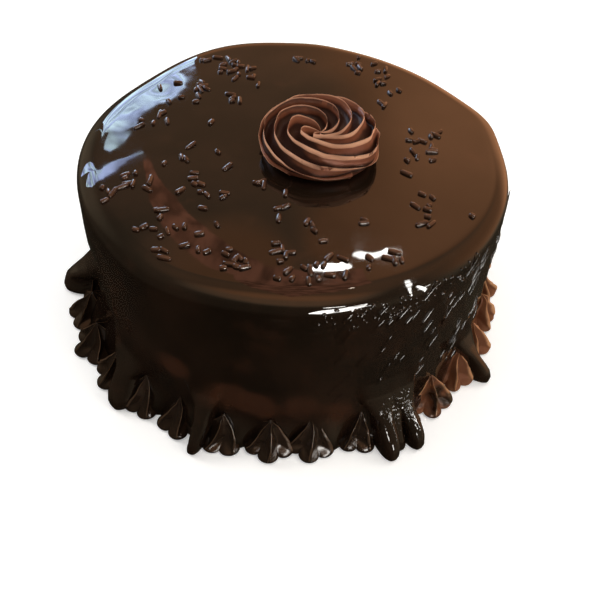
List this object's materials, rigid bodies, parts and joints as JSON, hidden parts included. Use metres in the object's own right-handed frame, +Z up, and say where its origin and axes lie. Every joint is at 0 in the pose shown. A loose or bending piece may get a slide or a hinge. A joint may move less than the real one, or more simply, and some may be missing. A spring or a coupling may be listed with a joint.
{
  "type": "frosted chocolate cake",
  "caption": "Tall round chocolate layer cake under poured dark glaze, with sprinkles, a piped rosette on top and a border of piped stars at its foot.",
  "frame": {"origin": "under the middle of the whole cake, on the surface it stands on", "axes": "+Z up; -Y towards the front of the cake, the side that faces the viewer in the picture; +X to the right of that view"},
  "size_m": [0.2538, 0.2446, 0.1182],
  "materials": {
    "ganache": "poured dark chocolate glaze, mirror gloss",
    "buttercream": "milk-chocolate buttercream, satin, slightly crumbly on its edges",
    "border": "piped chocolate buttercream, partly under glaze"
  },
  "bodies": {
    "root": {"cake": "ganache", "rosette": "buttercream", "star_01": "border", "star_02": "border", "star_03": "border", "star_04": "border", "star_05": "border", "star_06": "border", "star_07": "border", "star_08": "border", "star_09": "border", "star_10": "border", "star_11": "border", "star_12": "border", "star_13": "border", "star_14": "border", "star_15": "border", "star_16": "border", "star_17": "border", "star_18": "border", "star_19": "border", "star_20": "border", "star_21": "border", "star_22": "border", "star_23": "border", "star_24": "border", "star_25": "border", "star_26": "border", "star_27": "border", "star_28": "border", "star_29": "border", "star_30": "border", "star_31": "border"}
  },
  "joints": []
}
